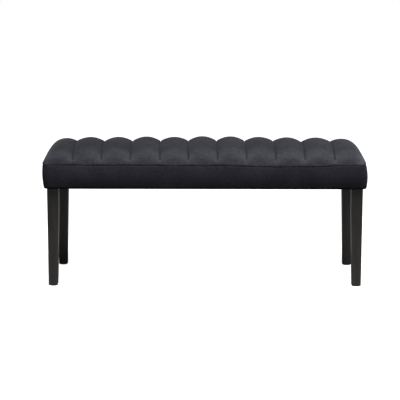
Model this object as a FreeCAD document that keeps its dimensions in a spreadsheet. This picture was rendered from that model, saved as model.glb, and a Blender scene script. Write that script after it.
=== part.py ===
import FreeCAD, Part
import math
import os
import Sketcher

# Upholstered bench: a channelled velvet seat on a rail frame, with four tapered legs.
# Lengths are millimetres. X runs along the seat, the front faces -Y and the floor is z = 0.

SIZES = [
    ("seat_length", "1150", "Seat end to end, at the fullest line of its sides"),
    ("seat_depth", "400", "Seat front to back, at the fullest line of its sides"),
    ("leg_length", "351", "Leg, foot to top"),
    ("leg_top", "40", "Leg's square top, side to side"),
    ("leg_foot", "32", "Leg's square foot, side to side"),
    ("leg_straight", "70", "Untapered stretch at the top of a leg"),
    ("leg_edge_round", "1.5", "Rounding of a leg's long edges"),
    ("leg_inset", "17", "Leg's outer faces in from the fullest line"),
    ("glide_height", "3", "Glide under each foot"),
    ("glide_diameter", "30", "Glide's disc"),
    ("glide_bevel", "1", "Bevel round the bottom of a glide"),
    ("nail_diameter", "2", "Glide nail's shank"),
    ("nail_length", "18", "Glide nail's shank below its head"),
    ("nail_head_diameter", "7", "Glide nail's head"),
    ("nail_head", "1", "Glide nail's head, thickness"),
    ("nail_recess", "1.3", "Recess for the nail's head in a glide"),
    ("boxing_height", "82.5", "Side band of the cover, hem to seam"),
    ("boxing_bulge", "4", "Side band's swell between its hem and its seam"),
    ("boxing_foot_round", "6", "Rounding where the side band turns under"),
    ("corner_radius", "19", "Seat's corners in plan, at the seam"),
    ("velvet", "1.5", "Cover cloth with its lining"),
    ("hem_width", "24", "Cover turned under the frame"),
    ("dust_sheet", "1", "Dust cover, thickness"),
    ("dust_inset", "13", "Dust cover's edge in from the fullest line"),
    ("dust_corner", "8", "Dust cover's corner rounding"),
    ("rail_inset", "8", "Rail frame in from the fullest line"),
    ("rail_thickness", "16", "Rails, thickness"),
    ("rail_height", "45", "Rails, height"),
    ("cross_rail_spread", "380", "Between the middles of the two cross rails"),
    ("deck_thickness", "9", "Plywood deck"),
    ("foam_crown", "44", "Foam's crown above its upright edge"),
    ("foam_shoulder", "70", "Slope at each end of the foam, along the seat"),
    ("backing", "1", "Backing cloth of the channels"),
    ("pad_edge", "12", "Channel pads below the seam"),
    ("crown_height", "73.5", "Channel crests above the seam"),
    ("rim_rise", "3", "Channel crests above the seam at the front and rear edge"),
    ("channel_dip", "15", "Sewn lines below the crests"),
    ("rim_dip", "0.6", "Sewn lines below the crests at the front and rear edge"),
    ("end_crest_inset", "66", "End channel's crest in from the seam"),
    ("end_crest_drop", "4.3", "End channel's crest below the others"),
    ("block_leg", "80", "Corner block along each rail"),
    ("block_tip", "14", "Corner block's width at its tips"),
    ("block_height", "30", "Corner block, height"),
    ("bolt_diameter", "8", "Hanger bolt"),
    ("bolt_in_leg", "40", "Hanger bolt inside the leg"),
    ("bolt_above", "40", "Hanger bolt above the leg"),
    ("bolt_point", "4", "Hanger bolt's pointed end"),
    ("tee_flange", "1.5", "Tee nut's flange, thickness"),
    ("tee_flange_diameter", "21", "Tee nut's flange"),
    ("tee_barrel", "11", "Tee nut's barrel, length"),
    ("tee_barrel_diameter", "10", "Tee nut's barrel"),
    ("dowel_diameter", "8", "Frame dowel"),
    ("dowel_length", "30", "Frame dowel, length"),
    ("dowel_bevel", "1", "Frame dowel's bevelled ends"),
    ("dowel_in_long_rail", "8", "Frame dowel inside the front or rear rail"),
    ("dowel_spacing", "20", "Between the two dowels of a joint"),
    ("screw_diameter", "4", "Wood screw's shank"),
    ("screw_head_diameter", "8", "Wood screw's head"),
    ("screw_head", "2.5", "Wood screw's head, height"),
    ("block_screw_length", "24", "Corner block screw under its head"),
    ("block_screw_seat", "11", "Wood left under a corner block screw's head"),
    ("block_screw_place", "58", "Corner block screw along the rail, from the corner"),
    ("deck_screw_length", "30", "Deck screw with its sunk head"),
    ("ease", "0.15", "Clearance round a fastener"),
    ("bolt_ease", "0.5", "Clearance round a hanger bolt below its tee nut"),
    ("overrun", "2", "Cuts past a face"),
]

CHANNEL_COUNT = 11

# Shares of the seat's half depth where the channels' outlines are drawn.
STATION_SHARES = (-1, -0.94, -0.82, -0.62, -0.35, 0, 0.35, 0.62, 0.82, 0.94, 1)

# How full the crown is from front to back: 1 is a plain arc, less is fuller towards the seam.
CROWN_POWER_SHARE = 0.8

# Shares of a rail's half length where the deck is screwed down.
LONG_RAIL_SCREW_SHARES = (-0.75, -0.25, 0.25, 0.75)
END_RAIL_SCREW_SHARES = (-0.5, 0.5)
CROSS_RAIL_SCREW_SHARES = (0,)

# Half sizes in plan.
SEAM_X = "(dim.seat_length / 2 - dim.boxing_bulge)"
SEAM_Y = "(dim.seat_depth / 2 - dim.boxing_bulge)"
RAIL_X = "(dim.seat_length / 2 - dim.rail_inset)"
RAIL_Y = "(dim.seat_depth / 2 - dim.rail_inset)"
INSIDE_X = f"({RAIL_X} - dim.rail_thickness)"
INSIDE_Y = f"({RAIL_Y} - dim.rail_thickness)"
LEG_X = "(dim.seat_length / 2 - dim.leg_inset)"
LEG_Y = "(dim.seat_depth / 2 - dim.leg_inset)"
BOLT_X = f"({LEG_X} - dim.leg_top / 2)"
BOLT_Y = f"({LEG_Y} - dim.leg_top / 2)"
RAIL_CORNER = "(dim.corner_radius - dim.rail_inset + dim.boxing_bulge)"

# Levels, from the floor up.
UNDER_Z = "(dim.glide_height + dim.leg_length)"
COVER_Z = f"({UNDER_Z} + dim.dust_sheet)"
FRAME_Z = f"({COVER_Z} + dim.velvet)"
DECK_Z = f"({FRAME_Z} + dim.rail_height)"
FOAM_Z = f"({DECK_Z} + dim.deck_thickness)"
SEAM_Z = f"({COVER_Z} + dim.boxing_height)"
PAD_Z = f"({SEAM_Z} - dim.pad_edge)"
BLOCK_TOP_Z = f"({FRAME_Z} + dim.block_height)"

# Corners in the order of quarter turns about the upright axis: name, side along X, side along Y.
CORNERS = (("front_left", -1, -1), ("front_right", 1, -1), ("rear_right", 1, 1), ("rear_left", -1, 1))

X_AXIS = FreeCAD.Vector(1, 0, 0)
Y_AXIS = FreeCAD.Vector(0, 1, 0)
Z_AXIS = FreeCAD.Vector(0, 0, 1)
UPRIGHT = FreeCAD.Rotation(X_AXIS, 90)

doc = FreeCAD.newDocument("bench")
dim = doc.addObject("Spreadsheet::Sheet", "dim")
for row, (alias, length, note) in enumerate(SIZES, start=1):
    dim.set(f"A{row}", note)
    dim.set(f"B{row}", length)
    dim.setAlias(f"B{row}", alias)
doc.recompute()

nodes = []


def number(expression):
    """The present value of an expression on the sheet."""
    return float(dim.evalExpression(expression))


def as_node(obj, label):
    """Name an object as a finished sub-part."""
    obj.Label = label
    nodes.append(obj)
    return obj


def place(obj, x="0", y="0", z="0", rotation=None):
    """Put an object at a point given by expressions."""
    if rotation is not None:
        obj.Placement = FreeCAD.Placement(FreeCAD.Vector(), rotation)
    for axis, expression in zip("xyz", (x, y, z)):
        obj.setExpression(f".Placement.Base.{axis}", expression)
    return obj


# Sketches


def sketch_on(body, name, plane, height="0"):
    """A sketch on one of a body's own planes, lifted along the plane's normal."""
    sketch = body.newObject("Sketcher::SketchObject", name)
    support = [feature for feature in body.Origin.OriginFeatures if feature.Role == plane]
    sketch.AttachmentSupport = [(support[0], "")]
    sketch.MapMode = "FlatFace"
    sketch.setExpression(".AttachmentOffset.Base.z", height)
    return sketch


def free_sketch(name, rotation=None, x="0", y="0", z="0"):
    """A sketch that stands by itself."""
    return place(doc.addObject("Sketcher::SketchObject", name), x, y, z, rotation)


def bound(sketch, expression, kind, *where):
    """Add a dimension that follows an expression."""
    index = sketch.addConstraint(Sketcher.Constraint(kind, *where, number(expression)))
    sketch.setExpression(f"Constraints[{index}]", expression)


def pin(sketch, geometry, position, across, up):
    """Hold a point of an edge at a place measured from the sketch's origin."""
    bound(sketch, across, "DistanceX", -1, 1, geometry, position)
    bound(sketch, up, "DistanceY", -1, 1, geometry, position)


def arc_between(start, end, radius):
    """An anticlockwise arc of under half a circle."""
    chord = end - start
    half = chord.Length / 2
    left = FreeCAD.Vector(-chord.y, chord.x, 0) / chord.Length
    centre = (start + end) / 2 + left * math.sqrt(max(radius**2 - half**2, 0))
    return Part.Arc(start, centre - left * radius, end)


def outline(sketch, corners):
    """A closed anticlockwise outline of (across, up) corners.

    A third item bends the edge that leaves the corner: ("out", radius) or ("in", radius).
    """
    points = [FreeCAD.Vector(number(corner[0]), number(corner[1]), 0) for corner in corners]
    edges = []
    for index, corner in enumerate(corners):
        here = points[index]
        there = points[(index + 1) % len(points)]
        if len(corner) == 2:
            edges.append((sketch.addGeometry(Part.LineSegment(here, there), False), 1, 2))
            continue
        side, radius = corner[2]
        if side == "out":
            edges.append((sketch.addGeometry(arc_between(here, there, number(radius)), False), 1, 2))
        else:
            edges.append((sketch.addGeometry(arc_between(there, here, number(radius)), False), 2, 1))
    for index, corner in enumerate(corners):
        edge, first, last = edges[index]
        before, before_first, before_last = edges[index - 1]
        sketch.addConstraint(Sketcher.Constraint("Coincident", before, before_last, edge, first))
        pin(sketch, edge, first, corner[0], corner[1])
        if len(corner) == 3:
            bound(sketch, corner[2][1], "Radius", edge)
    return sketch


def rounded_box(sketch, left, right, near, far, radius):
    """A rectangle with round corners."""
    bend = ("out", radius)
    corners = [
        (f"{left} + {radius}", near),
        (f"{right} - {radius}", near, bend),
        (right, f"{near} + {radius}"),
        (right, f"{far} - {radius}", bend),
        (f"{right} - {radius}", far),
        (f"{left} + {radius}", far, bend),
        (left, f"{far} - {radius}"),
        (left, f"{near} + {radius}", bend),
    ]
    return outline(sketch, corners)


def circle(sketch, across, up, radius):
    """A round hole's outline."""
    centre = FreeCAD.Vector(number(across), number(up), 0)
    edge = sketch.addGeometry(Part.Circle(centre, Z_AXIS, number(radius)), False)
    pin(sketch, edge, 3, across, up)
    bound(sketch, radius, "Radius", edge)
    return sketch


# Solids


def extruded(name, sketch, direction, length, z="0"):
    """A straight prism on a free sketch."""
    prism = doc.addObject("Part::Extrusion", name)
    prism.Base = sketch
    prism.DirMode = "Custom"
    prism.Dir = direction
    prism.Solid = True
    prism.setExpression("LengthFwd", length)
    return place(prism, z=z)


def cut(name, base, tool):
    """One solid less another."""
    result = doc.addObject("Part::Cut", name)
    result.Base = base
    result.Tool = tool
    return result


def joined(kind, name, shapes):
    """A Part::MultiFuse or Part::MultiCommon of several solids."""
    result = doc.addObject(kind, name)
    result.Shapes = shapes
    return result


def group(name, shapes):
    """Separate solids kept together."""
    result = doc.addObject("Part::Compound", name)
    result.Links = shapes
    return result


def box(name, length, width, height, x, y, z):
    """A block from its lowest corner."""
    block = doc.addObject("Part::Box", name)
    block.setExpression("Length", length)
    block.setExpression("Width", width)
    block.setExpression("Height", height)
    return place(block, x, y, z)


def turned(name, profile, places):
    """Copies of one turned piece: the profile is (radius, height), a place is (x, y, z, rotation)."""
    sketch = outline(free_sketch(f"{name}_profile", UPRIGHT), profile)
    copies = []
    for x, y, z, rotation in places:
        piece = doc.addObject("Part::Revolution", f"{name}_turned")
        piece.Source = sketch
        piece.Axis = Z_AXIS
        piece.Angle = 360
        piece.Solid = True
        copies.append(place(piece, x, y, z, rotation))
    return group(name, copies)


def quarter_turned(turns, across, along):
    """A point turned about the upright axis by a number of quarter turns."""
    turned_points = (
        (across, along),
        (f"-({along})", across),
        (f"-({across})", f"-({along})"),
        (along, f"-({across})"),
    )
    return turned_points[turns]


def about_upright(turns):
    """The rotation of a corner piece."""
    return FreeCAD.Rotation(Z_AXIS, 90 * turns)


# Legs: outer faces upright, inner faces tapered below a straight stretch.


def leg(label, turns, side_x, side_y):
    body = doc.addObject("PartDesign::Body", label)
    knee_z = f"({UNDER_Z} - dim.leg_straight)"
    foot = sketch_on(body, f"{label}_foot", "XY_Plane", "dim.glide_height")
    rounded_box(foot, "0", "dim.leg_foot", "0", "dim.leg_foot", "dim.leg_edge_round")
    knee = sketch_on(body, f"{label}_knee", "XY_Plane", knee_z)
    rounded_box(knee, "0", "dim.leg_top", "0", "dim.leg_top", "dim.leg_edge_round")
    taper = body.newObject("PartDesign::AdditiveLoft", f"{label}_taper")
    taper.Profile = foot
    taper.Sections = [knee]
    post = body.newObject("PartDesign::Pad", f"{label}_post")
    post.Profile = knee
    post.setExpression("Length", "dim.leg_straight")
    bolt_hole = sketch_on(body, f"{label}_bolt_hole", "XY_Plane", UNDER_Z)
    circle(bolt_hole, "dim.leg_top / 2", "dim.leg_top / 2", "dim.bolt_diameter / 2 + dim.ease")
    bolt_pocket = body.newObject("PartDesign::Pocket", f"{label}_bolt_pocket")
    bolt_pocket.Profile = bolt_hole
    bolt_pocket.setExpression("Length", "dim.bolt_in_leg + dim.ease")
    nail_hole = sketch_on(body, f"{label}_nail_hole", "XY_Plane", "dim.glide_height")
    circle(nail_hole, "dim.leg_foot / 2", "dim.leg_foot / 2", "dim.nail_diameter / 2 + dim.ease")
    nail_pocket = body.newObject("PartDesign::Pocket", f"{label}_nail_pocket")
    nail_pocket.Profile = nail_hole
    nail_pocket.Reversed = True
    nail_pocket.setExpression("Length", "dim.nail_length")
    place(body, f"{side_x} * {LEG_X}", f"{side_y} * {LEG_Y}", "0", about_upright(turns))
    as_node(body, label)


for turns, (corner, side_x, side_y) in enumerate(CORNERS):
    leg(f"leg_{corner}", turns, side_x, side_y)

# Glides and their nails, under the middle of each foot.


def foot_place(side_x, side_y, z):
    """The middle of a foot."""
    x = f"{side_x} * ({LEG_X} - dim.leg_foot / 2)"
    y = f"{side_y} * ({LEG_Y} - dim.leg_foot / 2)"
    return x, y, z, FreeCAD.Rotation()


glide_profile = [
    ("dim.nail_head_diameter / 2 + dim.ease", "0"),
    ("dim.glide_diameter / 2 - dim.glide_bevel", "0"),
    ("dim.glide_diameter / 2", "dim.glide_bevel"),
    ("dim.glide_diameter / 2", "dim.glide_height"),
    ("dim.nail_diameter / 2 + dim.ease", "dim.glide_height"),
    ("dim.nail_diameter / 2 + dim.ease", "dim.nail_recess"),
    ("dim.nail_head_diameter / 2 + dim.ease", "dim.nail_recess"),
]
nail_profile = [
    ("0", "-dim.nail_head"),
    ("dim.nail_head_diameter / 2", "-dim.nail_head"),
    ("dim.nail_head_diameter / 2", "0"),
    ("dim.nail_diameter / 2", "0"),
    ("dim.nail_diameter / 2", "dim.nail_length - dim.nail_diameter"),
    ("0", "dim.nail_length"),
]
for corner, side_x, side_y in CORNERS:
    glide = turned(f"glide_{corner}_disc", glide_profile, [foot_place(side_x, side_y, "0")])
    as_node(glide, f"glide_{corner}")
nail_places = [foot_place(side_x, side_y, "dim.nail_recess") for corner, side_x, side_y in CORNERS]
as_node(turned("nails", nail_profile, nail_places), "glide_nails")

# Hanger bolts in the legs, with tee nuts on the corner blocks.

bolt_profile = [
    ("0", "-dim.bolt_in_leg"),
    ("dim.bolt_diameter / 2", "dim.bolt_point - dim.bolt_in_leg"),
    ("dim.bolt_diameter / 2", "dim.bolt_above"),
    ("0", "dim.bolt_above"),
]
tee_profile = [
    ("dim.bolt_diameter / 2 + dim.ease", "-dim.tee_barrel"),
    ("dim.tee_barrel_diameter / 2", "-dim.tee_barrel"),
    ("dim.tee_barrel_diameter / 2", "0"),
    ("dim.tee_flange_diameter / 2", "0"),
    ("dim.tee_flange_diameter / 2", "dim.tee_flange"),
    ("dim.bolt_diameter / 2 + dim.ease", "dim.tee_flange"),
]
bolt_hole_profile = [
    ("0", "-dim.block_height - dim.overrun"),
    ("dim.bolt_diameter / 2 + dim.bolt_ease", "-dim.block_height - dim.overrun"),
    ("dim.bolt_diameter / 2 + dim.bolt_ease", "-dim.tee_barrel - dim.ease"),
    ("dim.tee_barrel_diameter / 2 + dim.ease", "-dim.tee_barrel - dim.ease"),
    ("dim.tee_barrel_diameter / 2 + dim.ease", "dim.overrun"),
    ("0", "dim.overrun"),
]


def bolt_places(z):
    """The four bolts' axes."""
    return [(f"{side_x} * {BOLT_X}", f"{side_y} * {BOLT_Y}", z, None) for corner, side_x, side_y in CORNERS]


as_node(turned("bolts", bolt_profile, bolt_places(UNDER_Z)), "hanger_bolts")
as_node(turned("tees", tee_profile, bolt_places(BLOCK_TOP_Z)), "tee_nuts")
bolt_holes = turned("bolt_holes", bolt_hole_profile, bolt_places(BLOCK_TOP_Z))

# Dowels that join the end rails and cross rails to the long rails.


def dowel_profile(ease):
    radius = f"dim.dowel_diameter / 2 + {ease}"
    return [
        ("0", f"-({ease})"),
        (f"{radius} - dim.dowel_bevel", f"-({ease})"),
        (radius, f"dim.dowel_bevel - {ease}"),
        (radius, f"dim.dowel_length - dim.dowel_bevel + {ease}"),
        (f"{radius} - dim.dowel_bevel", f"dim.dowel_length + {ease}"),
        ("0", f"dim.dowel_length + {ease}"),
    ]


END_RAIL_MIDDLE = f"({RAIL_X} - dim.rail_thickness / 2)"
CROSS_RAIL_MIDDLE = "(dim.cross_rail_spread / 2)"
dowel_places = []
for side_x in (-1, 1):
    for rail_middle in (END_RAIL_MIDDLE, CROSS_RAIL_MIDDLE):
        for side_y in (-1, 1):
            for side_z in (-1, 1):
                x = f"{side_x} * {rail_middle}"
                y = f"{side_y} * ({INSIDE_Y} + dim.dowel_in_long_rail)"
                z = f"{FRAME_Z} + dim.rail_height / 2 + {side_z} * dim.dowel_spacing / 2"
                dowel_places.append((x, y, z, FreeCAD.Rotation(X_AXIS, 90 * side_y)))
as_node(turned("dowels", dowel_profile("0"), dowel_places), "frame_dowels")
dowel_holes = turned("dowel_holes", dowel_profile("dim.ease"), dowel_places)

# Screws through the corner blocks into both rails, with their heads sunk in the slanted face.

block_screw_profile = [
    ("0", "-dim.block_screw_length"),
    ("dim.screw_diameter / 2", "dim.screw_diameter - dim.block_screw_length"),
    ("dim.screw_diameter / 2", "0"),
    ("dim.screw_head_diameter / 2", "0"),
    ("dim.screw_head_diameter / 2", "dim.screw_head"),
    ("0", "dim.screw_head"),
]
block_screw_hole_profile = [
    ("0", "-dim.block_screw_length - dim.ease"),
    ("dim.screw_diameter / 2 + dim.ease", "-dim.block_screw_length - dim.ease"),
    ("dim.screw_diameter / 2 + dim.ease", "0"),
    ("dim.screw_head_diameter / 2 + dim.ease", "0"),
    ("dim.screw_head_diameter / 2 + dim.ease", "dim.block_leg"),
    ("0", "dim.block_leg"),
]
block_screw_places = []
for turns, (corner, side_x, side_y) in enumerate(CORNERS):
    ways = (
        ("dim.block_screw_place", "dim.block_screw_seat", FreeCAD.Rotation(X_AXIS, -90)),
        ("dim.block_screw_seat", "dim.block_screw_place", FreeCAD.Rotation(Y_AXIS, 90)),
    )
    for across, along, tilt in ways:
        offset_x, offset_y = quarter_turned(turns, across, along)
        x = f"{side_x} * {INSIDE_X} + {offset_x}"
        y = f"{side_y} * {INSIDE_Y} + {offset_y}"
        z = f"{FRAME_Z} + dim.block_height / 2"
        block_screw_places.append((x, y, z, about_upright(turns).multiply(tilt)))
as_node(turned("block_screws", block_screw_profile, block_screw_places), "corner_block_screws")
block_screw_holes = turned("block_screw_holes", block_screw_hole_profile, block_screw_places)

# Screws that hold the deck down, with heads flush with its top.

deck_screw_profile = [
    ("0", "-dim.deck_screw_length"),
    ("dim.screw_diameter / 2", "dim.screw_diameter - dim.deck_screw_length"),
    ("dim.screw_diameter / 2", "-dim.screw_head"),
    ("dim.screw_head_diameter / 2", "0"),
    ("0", "0"),
]
deck_screw_hole_profile = [
    ("0", "-dim.deck_screw_length - dim.ease"),
    ("dim.screw_diameter / 2 + dim.ease", "-dim.deck_screw_length - dim.ease"),
    ("dim.screw_diameter / 2 + dim.ease", "-dim.screw_head"),
    ("dim.screw_head_diameter / 2 + dim.ease", "0"),
    ("dim.screw_head_diameter / 2 + dim.ease", "dim.overrun"),
    ("0", "dim.overrun"),
]
deck_screw_places = []
for side in (-1, 1):
    for share in LONG_RAIL_SCREW_SHARES:
        y = f"{side} * ({RAIL_Y} - dim.rail_thickness / 2)"
        deck_screw_places.append((f"{share} * {RAIL_X}", y, FOAM_Z, None))
    for share in END_RAIL_SCREW_SHARES:
        deck_screw_places.append((f"{side} * {END_RAIL_MIDDLE}", f"{share} * {INSIDE_Y}", FOAM_Z, None))
    for share in CROSS_RAIL_SCREW_SHARES:
        deck_screw_places.append((f"{side} * {CROSS_RAIL_MIDDLE}", f"{share} * {INSIDE_Y}", FOAM_Z, None))
as_node(turned("deck_screws_set", deck_screw_profile, deck_screw_places), "deck_screws")
deck_screw_holes = turned("deck_screw_holes", deck_screw_hole_profile, deck_screw_places)

# Rail frame: two long rails with rounded ends, two end rails and two cross rails between them.

frame_plan = rounded_box(
    free_sketch("frame_plan"), f"-{RAIL_X}", RAIL_X, f"-{RAIL_Y}", RAIL_Y, RAIL_CORNER
)
frame_block = extruded("frame_block", frame_plan, Z_AXIS, "dim.rail_height", FRAME_Z)
rail_holes = group("rail_holes", [dowel_holes, block_screw_holes, deck_screw_holes])

for label, near in (("front_rail", f"-{RAIL_Y}"), ("rear_rail", INSIDE_Y)):
    length = f"2 * {RAIL_X}"
    blank = box(
        f"{label}_blank", length, "dim.rail_thickness", "dim.rail_height", f"-{RAIL_X}", near, FRAME_Z
    )
    rounded = joined("Part::MultiCommon", f"{label}_rounded", [blank, frame_block])
    as_node(cut(f"{label}_drilled", rounded, rail_holes), label)

SHORT_RAILS = (
    ("left_end_rail", f"-{END_RAIL_MIDDLE}"),
    ("cross_rail_left", f"-{CROSS_RAIL_MIDDLE}"),
    ("cross_rail_right", CROSS_RAIL_MIDDLE),
    ("right_end_rail", END_RAIL_MIDDLE),
)
for label, middle in SHORT_RAILS:
    left = f"{middle} - dim.rail_thickness / 2"
    length = f"2 * {INSIDE_Y}"
    blank = box(
        f"{label}_blank", "dim.rail_thickness", length, "dim.rail_height", left, f"-{INSIDE_Y}", FRAME_Z
    )
    as_node(cut(f"{label}_drilled", blank, rail_holes), label)

# Corner blocks: gussets between the long rails and the end rails.


def corner_block(label, turns, side_x, side_y):
    body = doc.addObject("PartDesign::Body", f"{label}_gusset")
    plan = sketch_on(body, f"{label}_plan", "XY_Plane")
    corners = [
        ("0", "0"),
        ("dim.block_leg", "0"),
        ("dim.block_leg", "dim.block_tip"),
        ("dim.block_tip", "dim.block_leg"),
        ("0", "dim.block_leg"),
    ]
    outline(plan, corners)
    pad = body.newObject("PartDesign::Pad", f"{label}_pad")
    pad.Profile = plan
    pad.setExpression("Length", "dim.block_height")
    place(body, f"{side_x} * {INSIDE_X}", f"{side_y} * {INSIDE_Y}", FRAME_Z, about_upright(turns))
    as_node(cut(f"{label}_drilled", body, block_holes), label)


block_holes = group("block_holes", [bolt_holes, block_screw_holes])
for turns, (corner, side_x, side_y) in enumerate(CORNERS):
    corner_block(f"corner_block_{corner}", turns, side_x, side_y)

# Plywood deck on the rails.

deck_blank = extruded("deck_blank", frame_plan, Z_AXIS, "dim.deck_thickness", DECK_Z)
as_node(cut("deck_drilled", deck_blank, deck_screw_holes), "seat_deck")

# Foam: crowned from front to back, sloped at both ends, rounded in plan.


def crowned_block(name, lift):
    """The foam's form, with its top raised by a lift."""
    edge_z = f"({PAD_Z} + {lift})"
    top_z = f"({edge_z} + dim.foam_crown)"
    crown_radius = f"({RAIL_Y} * {RAIL_Y} + dim.foam_crown * dim.foam_crown) / (2 * dim.foam_crown)"
    across = [
        (f"-{RAIL_Y}", FOAM_Z),
        (RAIL_Y, FOAM_Z),
        (RAIL_Y, edge_z, ("out", crown_radius)),
        (f"-{RAIL_Y}", edge_z),
    ]
    along = [
        (f"-{RAIL_X}", FOAM_Z),
        (RAIL_X, FOAM_Z),
        (RAIL_X, edge_z),
        (f"{RAIL_X} - dim.foam_shoulder", top_z),
        (f"dim.foam_shoulder - {RAIL_X}", top_z),
        (f"-{RAIL_X}", edge_z),
    ]
    facing_end = FreeCAD.Rotation(Z_AXIS, 90).multiply(UPRIGHT)
    across_sketch = outline(free_sketch(f"{name}_across", facing_end, x=f"-{RAIL_X}"), across)
    along_sketch = outline(free_sketch(f"{name}_along", UPRIGHT, y=f"-{RAIL_Y}"), along)
    prisms = [
        extruded(f"{name}_crown", across_sketch, X_AXIS, f"2 * {RAIL_X}"),
        extruded(f"{name}_slopes", along_sketch, Y_AXIS, f"2 * {RAIL_Y}"),
        extruded(f"{name}_plan", frame_plan, Z_AXIS, f"{top_z} - {FOAM_Z}", FOAM_Z),
    ]
    return joined("Part::MultiCommon", name, prisms)


foam = as_node(crowned_block("foam", "0"), "seat_foam")
backed_foam = crowned_block("backed_foam", "dim.backing")
as_node(cut("backing_sheet", backed_foam, foam), "channel_backing")

# Channels: crests and sewn lines run from front to back and sink towards both edges.

PITCH = f"(2 * {SEAM_X} / {CHANNEL_COUNT})"


def rise_share(station):
    """The crown's height at a station, as a share of its height in the middle."""
    return (1 - station * station) ** CROWN_POWER_SHARE


def crest_z(rise, drop, sink):
    return f"({SEAM_Z} + dim.rim_rise + (dim.crown_height - {drop} - dim.rim_rise) * {rise} - {sink})"


def valley_z(rise, sink):
    return f"({crest_z(rise, '0', sink)} - dim.rim_dip - (dim.channel_dip - dim.rim_dip) * {rise})"


def arc_radius(run, fall):
    """The radius of an arc that starts level and falls by an amount over a run."""
    return f"((({run}) * ({run}) + ({fall}) * ({fall})) / (2 * ({fall})))"


def middle_channel(rise, base, sink):
    """A channel between two sewn lines, about x = 0."""
    valley = valley_z(rise, sink)
    fall = f"{crest_z(rise, '0', sink)} - {valley}"
    return [
        (f"-{PITCH} / 2", base),
        (f"{PITCH} / 2", base),
        (f"{PITCH} / 2", valley, ("out", arc_radius(f"{PITCH} / 2", fall))),
        (f"-{PITCH} / 2", valley),
    ]


def end_channel(station, rise, base, sink):
    """The last channel on the right, which rolls over to the end of the seat."""
    sewn_x = f"({SEAM_X} - {PITCH})"
    crest_x = f"({SEAM_X} - dim.end_crest_inset)"
    round_off = f"(dim.corner_radius - {sink})"
    into_corner = f"max(0; {abs(station)} * ({SEAM_Y} - {sink}) - {SEAM_Y} + dim.corner_radius)"
    corner_cut = f"({round_off} - sqrt(max(0; {round_off} * {round_off} - {into_corner} * {into_corner})))"
    end_x = f"({SEAM_X} - {sink} - {corner_cut})"
    crest = crest_z(rise, "dim.end_crest_drop", sink)
    valley = valley_z(rise, sink)
    spring = f"({SEAM_Z} + dim.rim_rise / 2 - {sink})"
    return [
        (sewn_x, base),
        (end_x, base),
        (end_x, spring, ("out", arc_radius(f"{end_x} - {crest_x}", f"{crest} - {spring}"))),
        (crest_x, crest, ("out", arc_radius(f"{crest_x} - {sewn_x}", f"{crest} - {valley}"))),
        (sewn_x, valley),
    ]


def channel_forms(name, base, sink):
    """Every channel as a solid on a level base, with its outside sunk all round."""
    middle_sections = []
    end_sections = []
    for index, station in enumerate(STATION_SHARES):
        rise = rise_share(station)
        y = f"{station} * ({SEAM_Y} - {sink})"
        middle_sketch = free_sketch(f"{name}_middle_{index}", UPRIGHT, y=y)
        middle_sections.append(outline(middle_sketch, middle_channel(rise, base, sink)))
        end_sketch = free_sketch(f"{name}_end_{index}", UPRIGHT, y=y)
        end_sections.append(outline(end_sketch, end_channel(station, rise, base, sink)))
    forms = []
    for channel in range(CHANNEL_COUNT):
        form = doc.addObject("Part::Loft", f"{name}_{channel + 1}")
        form.Solid = True
        form.Ruled = True
        if channel == 0:
            form.Sections = end_sections
            place(form, rotation=about_upright(2))
        elif channel == CHANNEL_COUNT - 1:
            form.Sections = end_sections
        else:
            form.Sections = middle_sections
            place(form, x=f"{channel - (CHANNEL_COUNT - 1) / 2} * {PITCH}")
        forms.append(form)
    return forms


pad_forms = channel_forms("pad_form", PAD_Z, "dim.velvet")
for channel, form in enumerate(pad_forms, start=1):
    as_node(cut(f"pad_{channel}", form, backed_foam), f"channel_pad_{channel:02d}")

# Cover's top panel, drawn down over the channels and ending at the seam.

panel_outside = joined("Part::MultiFuse", "panel_outside", channel_forms("panel_form", SEAM_Z, "0"))
panel_inside = joined("Part::MultiFuse", "panel_inside", pad_forms)
as_node(cut("panel", panel_outside, panel_inside), "cover_top_panel")

# Cover's side band: a swelling wall that turns under the frame in a hem.

BAND_LOW_Z = f"({COVER_Z} + dim.boxing_foot_round)"
BAND_MIDDLE_Z = f"(({SEAM_Z} + {BAND_LOW_Z}) / 2)"
BAND_HALF = f"(({SEAM_Z} - {BAND_LOW_Z}) / 2)"
BAND_RADIUS = arc_radius(BAND_HALF, "dim.boxing_bulge")

seam_path = rounded_box(
    free_sketch("seam_path"), f"-{SEAM_X}", SEAM_X, f"-{SEAM_Y}", SEAM_Y, "dim.corner_radius"
)


def swept_round(name, profile):
    """A profile, drawn outwards from the seam line, carried round the seat."""
    facing_out = FreeCAD.Rotation(Z_AXIS, -90).multiply(UPRIGHT)
    start_x = f"dim.corner_radius - {SEAM_X}"
    section = outline(free_sketch(f"{name}_profile", facing_out, start_x, f"-{SEAM_Y}"), profile)
    ring = doc.addObject("Part::Sweep", name)
    ring.Sections = [section]
    ring.Spine = (seam_path, [f"Edge{edge + 1}" for edge in range(seam_path.GeometryCount)])
    ring.Solid = True
    return ring


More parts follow.
